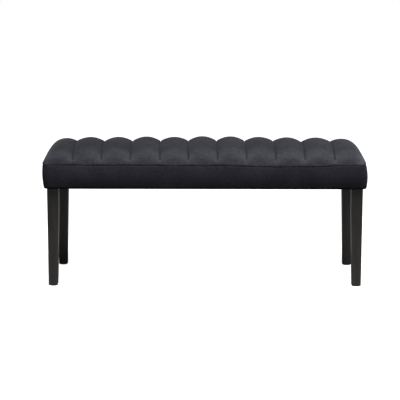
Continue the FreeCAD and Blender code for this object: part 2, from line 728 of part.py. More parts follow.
band_profile = [
    ("-dim.boxing_foot_round", COVER_Z, ("out", "dim.boxing_foot_round")),
    ("0", BAND_LOW_Z, ("out", BAND_RADIUS)),
    ("0", SEAM_Z),
    ("-dim.velvet", SEAM_Z, ("in", BAND_RADIUS)),
    ("-dim.velvet", BAND_LOW_Z, ("in", "dim.boxing_foot_round - dim.velvet")),
    ("-dim.boxing_foot_round", f"{COVER_Z} + dim.velvet"),
]
HEM_OUTER_X = f"({SEAM_X} - dim.boxing_foot_round)"
HEM_OUTER_Y = f"({SEAM_Y} - dim.boxing_foot_round)"
HEM_OUTER_CORNER = "(dim.corner_radius - dim.boxing_foot_round)"
HEM_INNER_X = f"({SEAM_X} - dim.hem_width)"
HEM_INNER_Y = f"({SEAM_Y} - dim.hem_width)"
hem_plan = free_sketch("hem_plan")
rounded_box(hem_plan, f"-{HEM_OUTER_X}", HEM_OUTER_X, f"-{HEM_OUTER_Y}", HEM_OUTER_Y, HEM_OUTER_CORNER)
rounded_box(hem_plan, f"-{HEM_INNER_X}", HEM_INNER_X, f"-{HEM_INNER_Y}", HEM_INNER_Y, "dim.dust_corner")
hem = extruded("hem", hem_plan, Z_AXIS, "dim.velvet", COVER_Z)
band = swept_round("band", band_profile)
as_node(joined("Part::MultiFuse", "boxing", [band, hem]), "cover_boxing")

# Wadding between the frame and the side band, in four strips.

PAD_SWELL = (
    f"(dim.boxing_bulge - dim.velvet - {BAND_RADIUS}"
    f" + sqrt({BAND_RADIUS} * {BAND_RADIUS} - ({PAD_Z} - {BAND_MIDDLE_Z}) * ({PAD_Z} - {BAND_MIDDLE_Z})))"
)
wadding_profile = [
    ("dim.boxing_bulge - dim.rail_inset", BAND_LOW_Z),
    ("-dim.velvet", BAND_LOW_Z, ("out", BAND_RADIUS)),
    (PAD_SWELL, PAD_Z),
    ("dim.boxing_bulge - dim.rail_inset", PAD_Z),
]
wadding_ring = swept_round("wadding_ring", wadding_profile)
STRIP_X = f"({SEAM_X} - dim.corner_radius)"
STRIP_Y = f"({SEAM_Y} - dim.corner_radius)"
HALF_X = "dim.seat_length / 2"
HALF_Y = "dim.seat_depth / 2"
WADDING_STRIPS = (
    ("front_wadding", f"-{STRIP_X}", f"2 * {STRIP_X}", f"-{HALF_Y}", f"{HALF_Y} - {STRIP_Y}"),
    ("rear_wadding", f"-{STRIP_X}", f"2 * {STRIP_X}", STRIP_Y, f"{HALF_Y} - {STRIP_Y}"),
    ("left_wadding", f"-{HALF_X}", f"{HALF_X} - {STRIP_X}", f"-{HALF_Y}", "dim.seat_depth"),
    ("right_wadding", STRIP_X, f"{HALF_X} - {STRIP_X}", f"-{HALF_Y}", "dim.seat_depth"),
)
for label, x, length, y, width in WADDING_STRIPS:
    reach = box(f"{label}_reach", length, width, "dim.boxing_height", x, y, COVER_Z)
    as_node(joined("Part::MultiCommon", f"{label}_strip", [wadding_ring, reach]), label)

# Dust cover under the frame, with holes for the bolts.


def dust_cover(label):
    body = doc.addObject("PartDesign::Body", label)
    sheet = sketch_on(body, "dust_sheet_plan", "XY_Plane", UNDER_Z)
    edge_x = "(dim.seat_length / 2 - dim.dust_inset)"
    edge_y = "(dim.seat_depth / 2 - dim.dust_inset)"
    rounded_box(sheet, f"-{edge_x}", edge_x, f"-{edge_y}", edge_y, "dim.dust_corner")
    for x, y, z, rotation in bolt_places(UNDER_Z):
        circle(sheet, x, y, "dim.bolt_diameter / 2 + dim.bolt_ease")
    pad = body.newObject("PartDesign::Pad", "dust_sheet_pad")
    pad.Profile = sheet
    pad.setExpression("Length", "dim.dust_sheet")
    as_node(body, label)


dust_cover("dust_cover")

# Everything is checked before a file is written.

doc.recompute()
for obj in doc.Objects:
    if "Invalid" in obj.State or "Error" in obj.State:
        raise RuntimeError(f"{obj.Label} did not build: {obj.State}")
for obj in nodes:
    if obj.Shape.isNull() or not obj.Shape.isValid():
        raise RuntimeError(f"{obj.Label} has no valid shape")

os.makedirs("parts", exist_ok=True)
for obj in nodes:
    obj.Shape.exportStep(f"parts/{obj.Label}.step")
    print(f"{obj.Label}: {len(obj.Shape.Solids)} solids, {obj.Shape.Volume:.0f} mm3")
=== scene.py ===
import math

import bmesh
import bpy
import numpy as np
from mathutils import Matrix, Vector
from mathutils.bvhtree import BVHTree


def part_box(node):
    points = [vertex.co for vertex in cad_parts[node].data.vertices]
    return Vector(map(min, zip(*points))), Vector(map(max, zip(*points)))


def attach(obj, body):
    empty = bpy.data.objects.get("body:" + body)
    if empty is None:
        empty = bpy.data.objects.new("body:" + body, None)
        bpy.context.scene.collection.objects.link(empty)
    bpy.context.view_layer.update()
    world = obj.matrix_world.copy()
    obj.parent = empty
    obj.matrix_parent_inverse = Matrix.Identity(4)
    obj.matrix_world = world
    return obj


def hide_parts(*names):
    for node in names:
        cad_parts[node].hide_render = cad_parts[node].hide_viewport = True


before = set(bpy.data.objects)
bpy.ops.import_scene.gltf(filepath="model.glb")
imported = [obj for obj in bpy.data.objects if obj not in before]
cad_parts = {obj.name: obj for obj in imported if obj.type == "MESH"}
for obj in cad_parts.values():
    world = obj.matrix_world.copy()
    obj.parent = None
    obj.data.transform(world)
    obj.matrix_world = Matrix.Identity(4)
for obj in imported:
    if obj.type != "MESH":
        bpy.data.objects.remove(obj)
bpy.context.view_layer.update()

# Upholstered bench, in metres: a velvet seat sewn into channels, a plain velvet side band and dark wooden legs.

# Sizes read from the frame
panel_low, panel_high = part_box("cover_top_panel")
band_low, band_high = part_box("cover_boxing")
foam_low, foam_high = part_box("seat_foam")
dust_low, dust_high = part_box("dust_cover")
leg_low, leg_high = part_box("leg_front_right")
cross_low, cross_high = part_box("cross_rail_right")
wadding_low, wadding_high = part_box("front_wadding")
HALF_LENGTH = panel_high.x
HALF_DEPTH = panel_high.y
SEAM_Z = panel_low.z
PILE_RISE = 0.001  # stuffed crests, above the source's panel
CROWN = panel_high.z - panel_low.z + PILE_RISE
BAND_BOTTOM = band_low.z
BAND_HEIGHT = SEAM_Z - BAND_BOTTOM
BAND_BULGE = band_high.x - panel_high.x
CORNER_RADIUS = 0.019
COVER_DRIFT = -0.0025  # the whole cover sits a little to the left on its frame


def smooth_step(low, high, value):
    """0 below low, 1 above high, smooth between."""
    share = min(max((value - low) / (high - low), 0.0), 1.0)
    return share * share * (3 - 2 * share)


def ripple(position, waves):
    """A slow irregular wave: each wave is (length, phase, height)."""
    return sum(height * math.sin(2 * math.pi * position / length + phase) for length, phase, height in waves)


def along_curve(points, shares):
    """Parameters of a curve of sampled points at given shares of its length."""
    points = np.asarray(points, float)
    reach = np.concatenate([[0.0], np.cumsum(np.linalg.norm(np.diff(points, axis=0), axis=1))])
    return np.interp(np.asarray(shares) * reach[-1], reach, np.linspace(0, 1, len(points)))


# Pieces and meshes


def new_piece(name, mesh_builder, material):
    """Make a smooth object from a bmesh, seated on the frame's one body."""
    mesh = bpy.data.meshes.new(name)
    mesh_builder.to_mesh(mesh)
    mesh_builder.free()
    piece = bpy.data.objects.new(name, mesh)
    bpy.context.scene.collection.objects.link(piece)
    mesh.materials.append(material)
    mesh.polygons.foreach_set("use_smooth", [True] * len(mesh.polygons))
    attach(piece, "root")
    return piece


def thickened(builder):
    """Give a sheet a second layer, closed along the edge, and hand back that layer's vertices."""
    upper = len(builder.verts)
    bmesh.ops.extrude_face_region(builder, geom=builder.faces[:], use_keep_orig=True)
    builder.verts.ensure_lookup_table()
    return builder.verts[upper:]


def subdivided(piece):
    """Finish a piece with a subdivision surface."""
    surface = piece.modifiers.new("rounding", "SUBSURF")
    surface.levels = 1
    surface.render_levels = 1


def lay_painted_shade(piece, shades):
    """Keep at each vertex the painted shade and light that is multiplied into the velvet's colour: 1 at full tone,
    less where shade is painted for the brushed and pressed velvet, more where light is painted.
    """
    painted_shade = piece.data.attributes.new("painted_shade", "FLOAT", "POINT")
    painted_shade.data.foreach_set("value", shades)


# Form of the seat. Pairs are for the left and the right end, and rows of values run from left to right.

CHANNELS = 11
PITCH = 2 * HALF_LENGTH / CHANNELS
SEWN_X = HALF_LENGTH - PITCH
DIP = 0.0180  # sewn lines, below the crests
LONG_SETTLE = 0.0036  # crests, lower towards the seat's ends
END_INSETS = (0.0638, 0.0668)  # crests of the end channels, in from the ends
END_DROPS = (0.0036, 0.0050)  # and below the other crests
END_POWER = 2.25  # roundness of the rolled ends
VALLEY_POWER = 0.56  # roundness of the crown, front to back, on a sewn line
CREST_POWER = 0.45  # and on a crest
FRONT_SHARE = 0.94  # share of the half depth where a crest starts to fall straight to the seam

# Uneven sewing: lines along X and their lean towards the front, lines up and down, and crests up and down.
LINE_DRIFT = (-0.0040, -0.0060, -0.0065, -0.0065, -0.0080, -0.0075, -0.0075, -0.0060, -0.0060, -0.0030)
FRONT_SHIFTS = (0.0073, 0.0060, 0.0053, 0.0060, 0.0035, 0.0028, 0.0012, 0.0, -0.0020, -0.0040)
LINE_LIFTS = (0.0030, 0.0, 0.0, 0.0, 0.0008, 0.0008, 0.0004, 0.0010, -0.0018, 0.0018)
LOBE_LIFTS = (0.0, 0.0006, -0.0002, 0.0005, -0.0013, 0.0013, 0.0010, -0.0003, -0.0010, -0.0003, 0.0005)
LEAN_START, LEAN_RUN = 0.4, 1.25  # shares of the half depth over which the lines lean
CHANNEL_EDGES = [-HALF_LENGTH, *(n * PITCH - SEWN_X + drift for n, drift in enumerate(LINE_DRIFT)), HALF_LENGTH]

# The seam's wander: waves, a slope along X, and a dip and a rise towards the right front corner.
SEAM_WAVES = ((0.31, 0.4, 0.0005), (0.127, 1.9, 0.0004), (0.083, 4.1, 0.0003))
SEAM_SKEW = 1.7  # weight of Y in a wave's position, so that the waves run on round the corners
SEAM_SLOPE = -0.0026 / HALF_LENGTH
SEAM_TURNS = (0.10, 0.18, 0.37, 0.43, 0.52, 0.57)
SEAM_LIFTS = (0.0, -0.0018, -0.0018, 0.0002, 0.0064, 0.0076)
SEAM_FADE = 0.03  # height above the seam where the wander has died out


def channel_of(x):
    """The channel that holds a place along X."""
    return max(n for n in range(CHANNELS) if n == 0 or x >= CHANNEL_EDGES[n])


def past_end_crest(x):
    """The share of the way from an end channel's crest to the seat's end, below 0 before the crest."""
    return 1 - (HALF_LENGTH - abs(x)) / END_INSETS[int(x > 0)]


def across_channel(x):
    """The share of the way across its channel, from -1 to 1, and 0 over the rolled half of an end channel."""
    channel = channel_of(x)
    start, stop = CHANNEL_EDGES[channel : channel + 2]
    if 0 < channel < CHANNELS - 1:
        return 2 * (x - start) / (stop - start) - 1
    sewn = abs(stop if channel == 0 else start)
    crest = HALF_LENGTH - END_INSETS[int(x > 0)]
    return max(0.0, (crest - abs(x)) / (crest - sewn))


def crown_share(depth_share, fullness):
    """Height of the crown at a share of the half depth: a plain arc on the sewn lines, fuller between them."""
    swell = fullness**2
    power = VALLEY_POWER + (CREST_POWER - VALLEY_POWER) * swell
    arc = max(0.0, 1 - depth_share**2) ** power
    past = (abs(depth_share) - FRONT_SHARE) / (1 - FRONT_SHARE)
    if past <= 0:
        return arc
    straight = (1 - FRONT_SHARE**2) ** power * (1 - past)
    return arc + (straight - arc) * swell


def channel_height(x):
    """Height of the channels above the seam, along the middle of the seat."""
    settle = LONG_SETTLE * min(1.0, abs(x) / SEWN_X) ** 2
    channel = channel_of(x)
    phase = across_channel(x)
    crest = CROWN - settle + LOBE_LIFTS[channel]
    line = min(max(channel - (phase < 0), 0), CHANNELS - 2)
    valley = CROWN - settle - DIP + LINE_LIFTS[line]
    if channel in (0, CHANNELS - 1):
        crest -= END_DROPS[int(x > 0)]
        past = past_end_crest(x)
        if past > 0:
            return crest * math.sqrt(max(0.0, 1 - past**END_POWER))
    return crest - (crest - valley) * phase**2


def end_reach(depth_share):
    """How far the seam reaches along X at a share of the half depth, with its round corners."""
    into_corner = max(0.0, abs(depth_share) * HALF_DEPTH - HALF_DEPTH + CORNER_RADIUS)
    return HALF_LENGTH - CORNER_RADIUS + math.sqrt(max(0.0, CORNER_RADIUS**2 - into_corner**2))


def line_shift(x, depth_share):
    """How far the sewn lines lean along X towards the front of the seat, carried over the channels between."""
    forward = min(max((LEAN_START - depth_share) / LEAN_RUN, 0.0), 1.0)
    return forward * float(np.interp(x, CHANNEL_EDGES, (0.0, *FRONT_SHIFTS, 0.0)))


def seam_drift(x, y):
    """Wander of the hand-sewn seam, up and down, with a rise at the right front corner."""
    front = 1 - smooth_step(-HALF_DEPTH, HALF_DEPTH, y)
    waves = ripple(x + SEAM_SKEW * y, SEAM_WAVES)
    return waves + SEAM_SLOPE * x + front * float(np.interp(x, SEAM_TURNS, SEAM_LIFTS))


def seat_point(x, depth_share, slack):
    """A point of the seat's upper surface, lowered by a slack between the sewn lines."""
    fullness = 1 - across_channel(x) ** 2
    crown = crown_share(depth_share, fullness)
    height = (channel_height(x) - slack * fullness) * crown
    shift = line_shift(x, depth_share)
    along = abs(x)
    if along > SEWN_X:
        along = SEWN_X + (along - SEWN_X) * (end_reach(depth_share) - SEWN_X) / PITCH
    x = math.copysign(along, x) + shift
    y = depth_share * HALF_DEPTH
    drift = seam_drift(x, y) * (1 - smooth_step(0, SEAM_FADE, height))
    return Vector((x, y, SEAM_Z + height + drift))


# Painted shade and light of the seat's velvet, in place of how light falls on its brushed pile: shades, and the
# shares of the half depth or of an end's roll over which they change.

TOP_PAINTED_SHADE = 0.57
TOP_EDGE = (0.55, 0.83)
WEB_PAINTED_LIGHT = 0.40
WEB_START, WEB_STOP = (0.72, 0.90), (0.94, 1.0)
END_RIM_PAINTED_LIGHTS = (0.35, 0.80)
RIM_ROLL = (0.35, 0.90)
END_FOOT_PAINTED_SHADES = (-0.25, 0.0)
FOOT_ROLL, FOOT_EDGE = (-0.3, 0.2), (0.90, 0.98)
PAINTED_LIGHT_SLOPE = 0.05 / HALF_LENGTH
LINE_PRESS_SHADE = 0.92  # pile pressed down on a sewn line, with painted shade of its crease
SHOULDER_PRESS_SHADE = 0.50  # and just beside it


def crown_painted_shade(x, depth_share):
    """Painted shade and light of the seat: darker on the flat middle, lighter where the sewn lines run out, on the
    rims of the rolled ends and towards the right, darker just above the seam on the left end.
    """
    depth = abs(depth_share)
    end = int(x > 0)
    past = past_end_crest(x)
    web = abs(across_channel(x)) ** 3 * smooth_step(*WEB_START, depth) * (1 - smooth_step(*WEB_STOP, depth))
    rim = END_RIM_PAINTED_LIGHTS[end] * smooth_step(*RIM_ROLL, past)
    foot = END_FOOT_PAINTED_SHADES[end] * smooth_step(*FOOT_ROLL, past) * smooth_step(*FOOT_EDGE, depth)
    painted_tone = TOP_PAINTED_SHADE + (1 - TOP_PAINTED_SHADE) * smooth_step(*TOP_EDGE, depth) + WEB_PAINTED_LIGHT * web
    return painted_tone * (1 + rim + foot + PAINTED_LIGHT_SLOPE * x)


# The stuffed seat

PAD_EDGE = 0.012  # foam's edge, below the seam
FOAM_SHOULDER = 0.070  # slope of the foam at its two ends
COLUMNS_PER_CHANNEL = 14
END_COLUMNS = 20
END_EASE = 1.5  # columns of an end channel, closer at its sewn line
ROWS = 64
SEAM_ROW = 0.0025  # row of the mesh beside the seam
CURVE_STEPS = 400
UNDERSIDE_INSET = 0.006
FOAM_GAP = 0.001
LEAST_PADDING = 0.008
SEAM_TUCK = 0.0004
SEAM_SINK = 0.0004
STITCH_STOP = 0.0190  # height above the seam where the sewn lines run out
STITCH_FADE = (0.9 * STITCH_STOP, 1.15 * STITCH_STOP)
STITCH_HOLD = 0.3  # a sewn line weaker than this doesn't pin the cloth
GROOVE = 0.0045  # sewn lines, drawn in after the stuffing
GROOVE_SHOULDER = 0.0008  # and the cloth just beside them
CLOTH_FRAMES = 18
CLOTH_PRESSURE = 6.0
CLOTH_CAP = 0.010  # most that the stuffing moves a point
CLOTH_SLACK = 0.0015  # crests, lower before the stuffing


def foam_top(x, y):
    """Height of the crowned foam under the channels."""
    edge = SEAM_Z - PAD_EDGE
    crown = foam_high.z - edge
    radius = (foam_high.y**2 + crown**2) / (2 * crown)
    across = foam_high.z - radius + math.sqrt(max(radius**2 - y**2, 0))
    along = edge + crown * min(1.0, max(0.0, (foam_high.x - abs(x)) / FOAM_SHOULDER))
    return max(edge, min(across, along))


def column_places():
    """Places along X of the seat's mesh columns, closer together beside the sewn lines."""
    places = []
    for channel in range(CHANNELS):
        start, stop = CHANNEL_EDGES[channel : channel + 2]
        if channel in (0, CHANNELS - 1):
            curve = [start + (stop - start) * step / CURVE_STEPS for step in range(CURVE_STEPS + 1)]
            even = np.linspace(0, 1, END_COLUMNS + 1)
            eased = even**END_EASE if channel else 1 - (1 - even) ** END_EASE
            shares = along_curve([(x, channel_height(x)) for x in curve], eased)[:-1]
        else:
            even = np.linspace(0, 1, COLUMNS_PER_CHANNEL + 1)[:-1]
            shares = 0.5 - 0.5 * np.cos(math.pi * even)
        places.extend(start + (stop - start) * share for share in shares)
    places.append(HALF_LENGTH)
    return places


def row_shares():
    """Shares of the half depth of the seat's mesh rows, evenly spaced over the crown."""
    depths = np.linspace(-1, 1, 10 * CURVE_STEPS + 1)
    curve = [(share * HALF_DEPTH, CROWN * crown_share(share, 1.0)) for share in depths]
    length = sum(math.dist(*pair) for pair in zip(curve, curve[1:]))
    beside_seam = SEAM_ROW / length
    shares = [*np.linspace(0, 1, ROWS - 1), beside_seam, 1 - beside_seam]
    return [2 * step - 1 for step in along_curve(curve, sorted(shares))]


def stuff_with_cloth(piece, pinned):
    """Let pressure swell the loose stretches of a piece between its pinned points."""
    pins = piece.vertex_groups.new(name="sewn")
    pins.add(pinned, 1.0, "REPLACE")
    cloth = piece.modifiers.new("stuffing", "CLOTH")
    cloth.settings.vertex_group_mass = pins.name
    cloth.settings.quality = 6
    cloth.settings.mass = 0.25
    cloth.settings.tension_stiffness = 25
    cloth.settings.compression_stiffness = 25
    cloth.settings.shear_stiffness = 8
    cloth.settings.bending_stiffness = 0.6
    cloth.settings.use_pressure = True
    cloth.settings.uniform_pressure_force = CLOTH_PRESSURE
    cloth.settings.effector_weights.gravity = 0
    cloth.collision_settings.use_collision = False
    cloth.point_cache.frame_start = 1
    cloth.point_cache.frame_end = CLOTH_FRAMES
    scene = bpy.context.scene
    before = [vertex.co.copy() for vertex in piece.data.vertices]
    for step in range(1, CLOTH_FRAMES + 1):
        scene.frame_set(step)
    settled = piece.evaluated_get(bpy.context.evaluated_depsgraph_get())
    after = [vertex.co.copy() for vertex in settled.to_mesh().vertices]
    settled.to_mesh_clear()
    piece.modifiers.remove(cloth)
    piece.vertex_groups.clear()
    scene.frame_set(1)
    for vertex, old, new in zip(piece.data.vertices, before, after):
        move = new - old
        if move.length > CLOTH_CAP:
            move *= CLOTH_CAP / move.length
        vertex.co = old + move


def channelled_seat(material):
    """The seat's top: velvet sewn over stuffed channels, closed underneath along the foam."""
    columns = column_places()
    rows = row_shares()
    builder = bmesh.new()
    bmesh.ops.create_grid(builder, x_segments=len(columns) - 1, y_segments=ROWS, size=1)
    line_columns = [END_COLUMNS + n * COLUMNS_PER_CHANNEL for n in range(CHANNELS - 1)]
    sewn, drawn_in, painted_shade = set(), [], {}
    slack = CLOTH_SLACK
    for vertex in builder.verts:
        column = round((vertex.co.x + 1) / 2 * (len(columns) - 1))
        row = round((vertex.co.y + 1) / 2 * ROWS)
        vertex.co = seat_point(columns[column], rows[row], slack)
        stitched = smooth_step(*STITCH_FADE, vertex.co.z - SEAM_Z)
        on_edge = row in (0, ROWS) or column in (0, len(columns) - 1)
        if on_edge:
            vertex.co.x *= 1 - SEAM_TUCK / HALF_LENGTH
            vertex.co.y *= 1 - SEAM_TUCK / HALF_DEPTH
            vertex.co.z -= SEAM_SINK
        on_line = column in line_columns
        beside_line = column - 1 in line_columns or column + 1 in line_columns
        if on_edge or (on_line and stitched > STITCH_HOLD):
            sewn.add(vertex.index)
        if stitched > 0 and (on_line or beside_line):
            drawn_in.append((vertex.index, stitched * (GROOVE if on_line else GROOVE_SHOULDER)))
        # pile pressed on and beside the sewn lines, darkened further by painted shade of their creases
        pressed_and_shaded = stitched * (LINE_PRESS_SHADE * on_line + SHOULDER_PRESS_SHADE * beside_line)
        painted_shade[vertex.index] = crown_painted_shade(columns[column], rows[row]) * (1 - pressed_and_shaded)
    for vertex in thickened(builder):
        x = vertex.co.x * (HALF_LENGTH - UNDERSIDE_INSET) / HALF_LENGTH
        y = vertex.co.y * (HALF_DEPTH - UNDERSIDE_INSET) / HALF_DEPTH
        vertex.co = Vector((x, y, min(foam_top(x, y) + FOAM_GAP, vertex.co.z - LEAST_PADDING)))
        sewn.add(vertex.index)
    bmesh.ops.translate(builder, verts=builder.verts, vec=(COVER_DRIFT, 0, 0))
    bmesh.ops.recalc_face_normals(builder, faces=builder.faces)
    piece = new_piece("channelled_seat", builder, material)
    lay_painted_shade(piece, [painted_shade.get(index, 1.0) for index in range(len(piece.data.vertices))])
    stuff_with_cloth(piece, sorted(sewn))
    for index, depth in drawn_in:
        piece.data.vertices[index].co.z -= depth
    subdivided(piece)
    nodes = ["cover_top_panel", "channel_backing"] + [f"channel_pad_{n + 1:02d}" for n in range(CHANNELS)]
    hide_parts(*nodes)
    return piece


# Side band and the wadding inside it

VELVET_THICKNESS = 0.0015
BAND_TOP_ROUND = 0.0035
BAND_TOP_SINK = 0.0009
BAND_FOOT_ROUND = 0.0045
BAND_LEAN = 0.0030  # shift to the right from the seam to the foot
BAND_TAPER = 0.0010  # front and back, drawn in towards the foot
HEM = 0.0175
TOP_STEPS, SIDE_STEPS, FOOT_STEPS = 10, 80, 12  # points of the section's round top, side and round foot
BAND_COLUMNS = 264
BAND_ROWS = 28
BAND_WAVES = ((0.43, 0.7, 0.0008), (0.21, 2.6, 0.0006), (0.118, 5.0, 0.0004))
BAND_SKEW = 2.3
SEAM_REACH = (0.4, 1.0)  # shares of the height that follow the seam's wander
FOOT_DIP = 0.0020
FOOT_HEIGHT = 0.4  # share of the height over which the dip dies out
FOOT_TURN = (-0.012, -0.006)  # and the part turned under, which doesn't dip
# Painted shade and light of the band: darker towards its foot, darkest where it turns under, lighter at its ends and
# towards the left.
BAND_FOOT_PAINTED_SHADE = 0.58
FOOT_PAINTED_SHADE_HEIGHTS = (-0.0010, 0.0080)  # heights over the band's bottom where the painted shade under the turned foot fades out
BAND_UPPER_PAINTED_SHADE = 0.77
BAND_PAINTED_SHADE_REACH = (-0.1, 0.8)
BAND_PAINTED_LIGHT_SLOPE = -0.13 / HALF_LENGTH
BAND_END_PAINTED_LIGHT = 0.40
WADDING_INSET = 0.0018
WADDING_TURN = -0.004  # the wadding stops where the band turns in this far
WADDING_THICKNESS = 0.0022
WADDING_ROWS = 14
WELD = 0.00002


def outline_point(share):
    """A point of the seat's outline in plan and its outward direction, at a share of the way round."""
    radius = CORNER_RADIUS
    straight_x = 2 * (HALF_LENGTH - radius)
    straight_y = 2 * (HALF_DEPTH - radius)
    arc = radius * math.pi / 2
    position = (share % 1.0) * (2 * straight_x + 2 * straight_y + 4 * arc)
    heading = -math.pi / 2
    corner = Vector((HALF_LENGTH - radius, -(HALF_DEPTH - radius), 0))
    for length in (straight_x, straight_y, straight_x, straight_y):
        outward = Vector((math.cos(heading), math.sin(heading), 0))
        ahead = Vector((-outward.y, outward.x, 0))
        if position <= length:
            return corner - ahead * (length - position) + outward * radius, outward
        position -= length
        if position <= arc:
            turn = heading + position / radius
            outward = Vector((math.cos(turn), math.sin(turn), 0))
            return corner + outward * radius, outward
        position -= arc
        heading += math.pi / 2
        ahead = Vector((-math.sin(heading), math.cos(heading), 0))
        next_length = straight_y if length == straight_x else straight_x
        corner = corner + ahead * next_length
    return corner, outward


def band_profile():
    """The band's section as (outward, height) points from the seam down to the hem's edge."""
    points = []
    for step in range(TOP_STEPS + 1):
        turn = math.pi / 2 * step / TOP_STEPS
        drop = BAND_TOP_SINK + BAND_TOP_ROUND * (1 - math.cos(turn))
        points.append((BAND_TOP_ROUND * (math.sin(turn) - 1), SEAM_Z - drop))
    top = SEAM_Z - BAND_TOP_SINK - BAND_TOP_ROUND
    foot = BAND_BOTTOM + BAND_FOOT_ROUND
    for step in range(1, SIDE_STEPS + 1):
        share = step / SIDE_STEPS
        points.append((BAND_BULGE * (1 - (2 * share - 1) ** 2), top + (foot - top) * share))
    for step in range(1, FOOT_STEPS + 1):
        turn = math.pi / 2 * step / FOOT_STEPS
        outward = BAND_FOOT_ROUND * (math.cos(turn) - 1)
        points.append((outward, foot - BAND_FOOT_ROUND * math.sin(turn)))
    points.append((-HEM, BAND_BOTTOM))
    return points


def band_ruffle(point, outward, across, height):
    """Slow swells of the band, its share of the seam's wander and the dip of its rolled foot."""
    share = (height - BAND_BOTTOM) / BAND_HEIGHT
    middle = max(0.0, 4 * share * (1 - share))
    around = point.x + BAND_SKEW * point.y
    swell = middle * ripple(around, BAND_WAVES) - BAND_TAPER * abs(outward.y) * (1 - share) ** 2
    dip = FOOT_DIP * (1 - smooth_step(0, FOOT_HEIGHT, share)) * smooth_step(*FOOT_TURN, across)
    return swell, seam_drift(point.x, point.y) * smooth_step(*SEAM_REACH, share) - dip


def ring_piece(name, material, profile, rows, thickness):
    """A band carried round the seat's outline, with a wall of a given thickness."""
    profile = np.asarray(profile)
    places = along_curve(profile, np.linspace(0, 1, rows + 1)) * (len(profile) - 1)
    outward_at = np.interp(places, np.arange(len(profile)), profile[:, 0])
    height_at = np.interp(places, np.arange(len(profile)), profile[:, 1])
    builder = bmesh.new()
    bmesh.ops.create_grid(builder, x_segments=BAND_COLUMNS, y_segments=rows, size=1)
    for vertex in builder.verts:
        share = (vertex.co.x + 1) / 2
        row = round((1 - vertex.co.y) / 2 * rows)
        point, outward = outline_point(share)
        swell, drop = band_ruffle(point, outward, outward_at[row], height_at[row])
        vertex.co = point + outward * (outward_at[row] + swell)
        vertex.co.x += COVER_DRIFT + BAND_LEAN * (SEAM_Z - height_at[row]) / BAND_HEIGHT
        vertex.co.z = height_at[row] + drop
    bmesh.ops.remove_doubles(builder, verts=builder.verts, dist=WELD)
    bmesh.ops.recalc_face_normals(builder, faces=builder.faces)
    piece = new_piece(name, builder, material)
    wall = piece.modifiers.new("wall", "SOLIDIFY")
    wall.thickness = thickness
    wall.offset = -1
    return piece


def band_painted_shade(place):
    """Painted shade and light of the band: darker towards its foot, dark where it turns under, lighter at its ends
    and towards the left.
    """
    share = (place.z - BAND_BOTTOM) / BAND_HEIGHT
    painted_tone = BAND_FOOT_PAINTED_SHADE + (BAND_UPPER_PAINTED_SHADE - BAND_FOOT_PAINTED_SHADE) * smooth_step(*BAND_PAINTED_SHADE_REACH, share)
    end = BAND_END_PAINTED_LIGHT * smooth_step(HALF_LENGTH - CORNER_RADIUS, HALF_LENGTH, abs(place.x))
    return painted_tone * (1 + end + BAND_PAINTED_LIGHT_SLOPE * place.x) * smooth_step(*FOOT_PAINTED_SHADE_HEIGHTS, place.z - BAND_BOTTOM)


def side_band(material):
    """The plain velvet band round the seat, turned under in a hem."""
    piece = ring_piece("side_band", material, band_profile(), BAND_ROWS, VELVET_THICKNESS)
    lay_painted_shade(piece, [band_painted_shade(vertex.co) for vertex in piece.data.vertices])
    subdivided(piece)
    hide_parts("cover_boxing")


def side_wadding(material):
    """The wadding wrapped round the frame, just inside the band."""
    profile = [
        (across - WADDING_INSET, up)
        for across, up in band_profile()
        if wadding_low.z <= up <= wadding_high.z and across > WADDING_TURN
    ]
    piece = ring_piece("side_wadding", material, profile, WADDING_ROWS, WADDING_THICKNESS)
    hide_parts("front_wadding", "rear_wadding", "left_wadding", "right_wadding")


# Foam, dust cloth, staples and stitches

FOAM_GRID = (60, 24)
FOAM_EDGE = 0.003
FOAM_EDGE_ANGLE = math.radians(50)
DUST_GRID = (96, 32)
DUST_SAG = 0.0025
DUST_FLAT = (0.045, 0.030)  # edge of the dust cloth that lies flat on the rails, along X and Y
DUST_THICKNESS = 0.0008
STAPLE_INSET = 0.008
STAPLE_SIZE = (0.0105, 0.0011, 0.0006)
STAPLE_BITE = 0.0002
STAPLE_EDGE = 0.00022
STAPLE_SKEW = 0.12  # most that a staple is turned out of line, changing along the row in a wave
LONG_SKEW_WAVE, SHORT_SKEW_WAVE = 40, 50
STAPLES_LONG = 20
STAPLES_SHORT = 6
LEG_CENTRE = ((leg_low.x + leg_high.x) / 2, -(leg_low.y + leg_high.y) / 2)
LEG_ROOM = (0.055, 0.045)  # no staples this near to a leg's centre
STITCH = 0.0034
STITCH_PITCH = 0.0046
THREAD = 0.00045
THREAD_RISE = 0.3


def foam_core(material):
    """The crowned foam block that fills the seat."""
    builder = bmesh.new()
    bmesh.ops.create_grid(builder, x_segments=FOAM_GRID[0], y_segments=FOAM_GRID[1], size=1)
    for vertex in builder.verts:
        x, y = vertex.co.x * foam_high.x, vertex.co.y * foam_high.y
        if abs(x) > SEWN_X:
            past = (end_reach(vertex.co.y) - HALF_LENGTH) * (abs(x) - SEWN_X) / (foam_high.x - SEWN_X)
            x += past if x > 0 else -past
        vertex.co = Vector((x, y, foam_top(x, y)))
    for vertex in thickened(builder):
        vertex.co.z = foam_low.z
    bmesh.ops.recalc_face_normals(builder, faces=builder.faces)
    piece = new_piece("foam_core", builder, material)
    edges = piece.modifiers.new("cut_edges", "BEVEL")
    edges.width = FOAM_EDGE
    edges.segments = 2
    edges.limit_method = "ANGLE"
    edges.angle_limit = FOAM_EDGE_ANGLE
    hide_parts("seat_foam")


